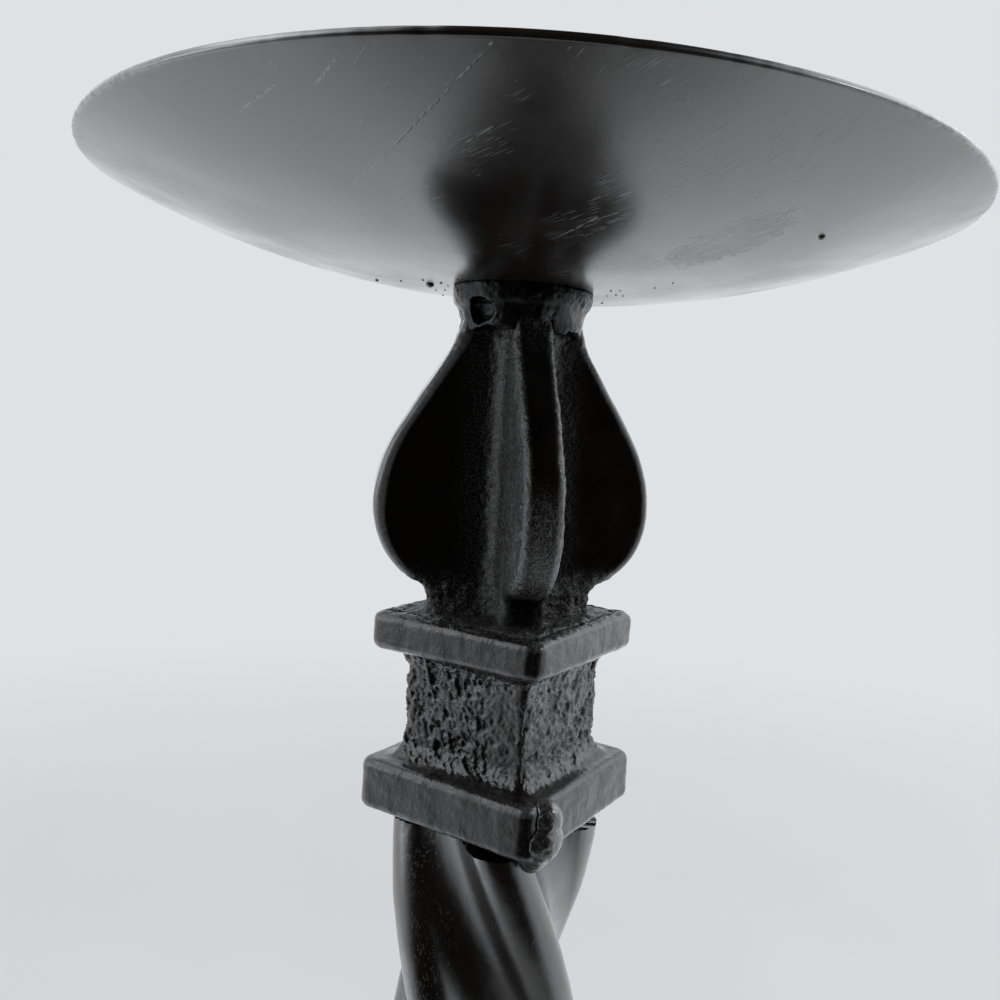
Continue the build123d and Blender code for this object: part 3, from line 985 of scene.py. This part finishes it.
def burnt(places, level):
    """Places of a weld with a wavy edge at a level and a bead along it, and their soot from 0 to 1."""
    soot_and_painted_shade = clamp(0.92 + 0.35 * lumps(places, soot_patch_size, 2, 1.4))
    near = 1 - rise(np.abs(places[:, 2] - level), *ragged_band)
    places[:, 2] += near * ragged_height * lumps(laid_down(places), ragged_size, 3, 5.1)
    ridge = ridge_height * hump(np.abs(places[:, 2] - level), *ridge_band)
    places[:, :2] += outward(places) * ridge[:, None]
    return places, soot_and_painted_shade


def make_weld(node_name, burnt_level=None):
    """Weld metal with a lumpy skin, or burnt black with a wavy edge at one level."""
    voxel, swell = weld_skins[node_name]
    piece = remeshed(node_name, voxel, 2)
    places = vertex_rows(piece.data, "co")
    normals = vertex_rows(piece.data, "normal")
    shift = swell * lumps(places, weld_lump_size, 3, 3.3)
    shift -= 0.6 * swell * pits(places, weld_pit_size, weld_pit_share, 8.8)
    places = places + normals * np.minimum(shift, 0.8 * swell)[:, None]
    soot_and_painted_shade = np.zeros(len(places))
    if burnt_level is not None:
        places, soot_and_painted_shade = burnt(places, burnt_level)
    move_vertices(piece.data, places)
    store(piece.data, "soot_and_painted_shade", soot_and_painted_shade)
    return piece


def add_spatter(skin, pan):
    """Put the beads of spatter that show on the pan into the skin of the neck's weld."""
    bpy.context.view_layer.update()
    work = bmesh.new()
    work.from_mesh(skin.data)
    eye = camera_place()
    for across, down, radius in spatter:
        hit, place, normal, _ = pan.ray_cast(eye, camera_ray(across, down))
        if not hit:
            raise ValueError("a bead of spatter misses the pan")
        size = radius * (place - eye).length / focal_pixels
        turn = normal.to_track_quat("Z", "Y").to_matrix().to_4x4()
        flatten = Matrix.Diagonal([size * share for share in bead_shares] + [1])
        matrix = Matrix.Translation(place + normal * size * bead_lift) @ turn @ flatten
        bmesh.ops.create_icosphere(work, subdivisions=2, radius=1.0, matrix=matrix)
    work.to_mesh(skin.data)
    work.free()
    skin.data.shade_smooth()


# Drip pan

def pan_profile():
    """Outline of the sheet as (reach, height): out along its underside, round its edge and back."""
    run = pan_radius - pan_flat_radius
    dish_radius = (run ** 2 + pan_depth ** 2) / (2 * pan_depth)
    span = math.asin(run / dish_radius)
    inner = dish_radius - pan_sheet
    under = [(reach, 0.0) for reach in np.linspace(0, pan_flat_radius, under_steps[0])[:-1]]
    over = [(reach, pan_sheet) for reach in np.linspace(0, pan_flat_radius, over_steps[0])[:-1]]
    for angle in np.linspace(0, span, under_steps[1]):
        under.append((pan_flat_radius + dish_radius * math.sin(angle), dish_radius * (1 - math.cos(angle))))
    for angle in np.linspace(0, span, over_steps[1]):
        over.append((pan_flat_radius + inner * math.sin(angle), dish_radius - inner * math.cos(angle)))
    along = Vector((math.cos(span), math.sin(span)))
    across = Vector((-math.sin(span), math.cos(span)))
    corner = Vector(under[-1])
    edge = []
    for centre_height, start in ((pan_edge_round, -90), (pan_sheet - pan_edge_round, 0)):
        centre = corner - along * pan_edge_round + across * centre_height
        for angle in np.linspace(start, start + 90, edge_steps):
            turn = math.radians(angle)
            edge.append(tuple(centre + pan_edge_round * (math.cos(turn) * along + math.sin(turn) * across)))
    under_limit = (corner - along * pan_edge_round).x - 0.0001
    over_limit = edge[-1][0] - 0.0001
    under = [point for point in under if point[0] < under_limit]
    over = [point for point in over if point[0] < over_limit]
    return under + edge + over[::-1]


def pan_placing():
    """Matrix that leans the pan and lifts it onto the head casting."""
    hinge = round_axis(pan_lean_direction + 90, 1, 0)
    return Matrix.Translation((0, 0, pan_level)) @ Matrix.Rotation(math.radians(pan_lean_angle), 4, hinge)


def scuff_shares(mesh):
    """Share of the scuffed oval at each place under the pan: 1 in its middle, half at its border."""
    offset = vertex_rows(mesh, "co") - np.array(camera_place())
    facing = np.einsum("ij,ij->i", vertex_rows(mesh, "normal"), offset) < 0
    right, up, back = (np.array(axis) for axis in camera_axes())
    depth = -offset @ back
    across = picture_width / 2 + focal_pixels * (offset @ right) / depth - scuff_middle[0]
    down = picture_width / 2 - focal_pixels * (offset @ up) / depth - scuff_middle[1]
    turn = math.radians(scuff_tilt)
    along = (across * math.cos(turn) + down * math.sin(turn)) / scuff_half_length
    aside = (down * math.cos(turn) - across * math.sin(turn)) / scuff_half_width
    return clamp(1 - 0.5 * np.hypot(along, aside)) * (facing & (depth > 0))


def turned_sheet(outline):
    """Mesh of an outline turned about the axis, which it starts and ends on."""
    turns = [math.tau * step / pan_segments for step in range(pan_segments)]
    work = bmesh.new()
    rings = []
    for reach, height in outline:
        if reach == 0:
            rings.append([work.verts.new((0, 0, height))])
        else:
            rings.append([work.verts.new((reach * math.cos(t), reach * math.sin(t), height)) for t in turns])
    for lower, upper in zip(rings, rings[1:]):
        for step in range(pan_segments):
            following = (step + 1) % pan_segments
            if len(lower) == 1:
                work.faces.new((lower[0], upper[following], upper[step]))
            elif len(upper) == 1:
                work.faces.new((lower[step], lower[following], upper[0]))
            else:
                work.faces.new((lower[step], lower[following], upper[following], upper[step]))
    bmesh.ops.recalc_face_normals(work, faces=work.faces)
    mesh = bpy.data.meshes.new("drip_pan_sheet")
    work.to_mesh(mesh)
    work.free()
    return mesh


def make_pan():
    """Dished sheet, a little wavy, with a cut edge that has small burrs and dents."""
    mesh = turned_sheet(pan_profile())
    places = vertex_rows(mesh, "co")
    flat = laid_down(places)
    reach = reach_of(places)
    depth = pan_radius - reach
    wavy = rise(reach, *wave_reaches) * rise(depth, *wave_depths)
    places[:, 2] += wavy * pan_wave_height * lumps(flat, pan_wave_size, 2, 0.6)
    right = math.radians(camera_direction + 90)
    rightness = (places[:, 0] * math.cos(right) + places[:, 1] * math.sin(right)) / pan_radius
    dents = np.maximum(0, lumps(flat, dent_size, 3, 9.2)) * dent_depth
    dents *= 1 + 3 * rise(rightness, *dented_side)
    places[:, :2] *= (1 - rise(depth, *dent_depths) * dents / reach.clip(0.001))[:, None]
    move_vertices(mesh, places)
    mesh.transform(pan_placing())
    store(mesh, "scuff", scuff_shares(mesh))
    # Painted highlight along the cut edge at the left and right of the pan
    store(mesh, "edge_highlight", rise(depth, *edge_highlight_depths) * rise(np.abs(rightness), *edge_highlight_sides))
    store(mesh, "sheet_edge", rise(depth, *unmarked_depths))
    mesh.shade_smooth()
    mesh.set_sharp_from_angle(angle=math.radians(50))
    return new_object("drip_pan_sheet", mesh)


# Camera

def make_camera():
    """Camera at the photograph's place, with its lens."""
    data = bpy.data.cameras.new("camera")
    data.sensor_width = sensor_width
    data.lens = focal_pixels * sensor_width / picture_width
    data.clip_start, data.clip_end = camera_clip
    camera = new_object("camera", data)
    turn = Matrix(camera_axes()).transposed().to_4x4()
    camera.matrix_world = Matrix.Translation(camera_place()) @ turn
    bpy.context.scene.camera = camera


# Light, floor and background

def seen_way(turn, climb=0.0):
    """Direction by its turn to the right of the camera's side of the holder and its climb."""
    rise_angle = math.radians(climb)
    return round_axis(camera_direction + turn, math.cos(rise_angle), math.sin(rise_angle))


def make_world():
    """Soft surroundings with a dark side and a dark ceiling for the gloss, and a plain background."""
    world = bpy.data.worlds.new("studio")
    bpy.context.scene.world = world
    tree = empty_tree(world)
    way = add(tree, "ShaderNodeTexCoord").outputs["Generated"]
    towards = dot(tree, way, seen_way(0))
    turn = maths(tree, "ARCTAN2", dot(tree, way, seen_way(90)), towards)
    left, left_dark, right_dark, right = (math.radians(angle) for angle in dark_side)
    shade = times(tree, between(tree, turn, left, left_dark), between(tree, turn, right, right_dark))
    ceiling = between(tree, dot(tree, way, Vector((0, 0, 1))), *dark_ceiling)
    mirrored = blend_colours(tree, greatest(tree, shade, ceiling), bright_around, dark_mirrored)
    soft = blend_colours(tree, between(tree, towards, 0.25, 0.80), bright_around, dark_around)
    path = add(tree, "ShaderNodeLightPath")
    glossy = path.outputs["Is Glossy Ray"]
    glow = []
    for spot_turn, climb, start, full, spot_strength in glow_spots:
        nearness = dot(tree, way, seen_way(spot_turn, climb))
        spot = between(tree, nearness, math.cos(math.radians(start)), math.cos(math.radians(full)))
        glow.append(times(tree, spot, spot_strength))
    strength = plus(
        tree, times(tree, glossy, plus(tree, *glow)), between(tree, glossy, 0.0, 1.0, 1.0, mirrored_strength),
    )
    colour = blend_colours(tree, glossy, soft, mirrored)
    around = add(tree, "ShaderNodeBackground", {"Color": colour, "Strength": strength}).outputs[0]
    seen = add(tree, "ShaderNodeBackground", {"Color": pale, "Strength": 1.0}).outputs[0]
    mixed = mix_shaders(tree, path.outputs["Is Camera Ray"], around, seen)
    add(tree, "ShaderNodeOutputWorld", {"Surface": mixed})


def make_floor():
    """Pale round floor that takes the shadow and fades into the background further out."""
    work = bmesh.new()
    bmesh.ops.create_circle(work, cap_ends=True, segments=96, radius=floor_radius)
    mesh = bpy.data.meshes.new("floor")
    work.to_mesh(mesh)
    work.free()
    floor = new_object("floor", mesh)
    material = bpy.data.materials.new("floor")
    tree = empty_tree(material)
    tone = between(tree, noise_of(tree, 0.25, 2.0), 0.3, 0.7, *floor_tones)
    grey = blend_colours(tree, tone, (0.0, 0.0, 0.0), (1.0, 1.0, 1.0))
    near = add(tree, "ShaderNodeBsdfDiffuse", {"Color": grey}).outputs[0]
    far = add(tree, "ShaderNodeEmission", {"Color": pale, "Strength": 1.0}).outputs[0]
    clear = add(tree, "ShaderNodeBsdfTransparent").outputs[0]
    reach = add(tree, "ShaderNodeVectorMath", {0: object_place(tree)}, operation="LENGTH").outputs["Value"]
    seen = add(tree, "ShaderNodeLightPath").outputs["Is Camera Ray"]
    fades = {0: seen, 2: between(tree, reach, *mirrored_fade), 3: between(tree, reach, *seen_fade)}
    fade = add(tree, "ShaderNodeMix", fades).outputs[0]
    away = mix_shaders(tree, seen, clear, far)
    add(tree, "ShaderNodeOutputMaterial", {"Surface": mix_shaders(tree, fade, near, away)})
    floor.data.materials.append(material)


def add_lamp(name, kind, way):
    """Lamp that shines along a direction."""
    lamp = new_object(name, bpy.data.lights.new(name, kind))
    lamp.rotation_mode = "QUATERNION"
    lamp.rotation_quaternion = way.to_track_quat("-Z", "Y")
    return lamp


def make_lights():
    """Broad soft sun from above, two softboxes at the sides and a small lamp for glints."""
    turn, climb, width, strength = sun
    lamp = add_lamp("sun", "SUN", -seen_way(turn, climb))
    lamp.data.angle = math.radians(width)
    lamp.data.energy = strength
    for name, (turn, reach, height, size, power) in lamps.items():
        place = round_axis(camera_direction + turn, reach, height)
        lamp = add_lamp(name, "AREA", lamp_target - place)
        lamp.location = place
        lamp.data.size = size
        lamp.data.energy = power


# The scene

pan_steel = make_pan_steel()
black_steel = make_black_steel()
black_casting = make_black_casting()
weld_metal = make_weld_metal()
felt = make_felt()

head_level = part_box("head_casting")[0].z + spigot_length
foot_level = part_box("foot_casting")[1].z - spigot_length
head = make_casting("head_casting", head_voxel, head_level, 1)
dress(head, black_casting, "head_casting")
foot = make_casting("foot_casting", foot_voxel, foot_level, -1)
dress(foot, black_casting, "foot_casting")
pan = make_pan()
neck_weld = make_weld("head_neck_weld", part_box("head_neck_weld")[0].z)
add_spatter(neck_weld, pan)
dress(neck_weld, weld_metal, "head_neck_weld")
foot_weld = make_weld("foot_neck_weld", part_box("foot_neck_weld")[1].z)
dress(foot_weld, weld_metal, "foot_neck_weld")
for node_name in ("upper_stem_welds", "lower_stem_welds", "step_weld", "spike_weld"):
    dress(make_weld(node_name), weld_metal, node_name)
dress(pan, pan_steel, "drip_pan")
dress(make_stem(head_level, foot_level), black_steel, "twisted_stem")
for node_name, material in (
    ("base_felt", felt),
    ("base_plate", black_steel),
    ("step_plate", black_steel),
    ("candle_spike", black_steel),
):
    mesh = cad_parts[node_name].data
    mesh.materials.clear()
    mesh.materials.append(material)

make_camera()
make_world()
make_floor()
make_lights()
bpy.context.scene.view_settings.view_transform = "Standard"
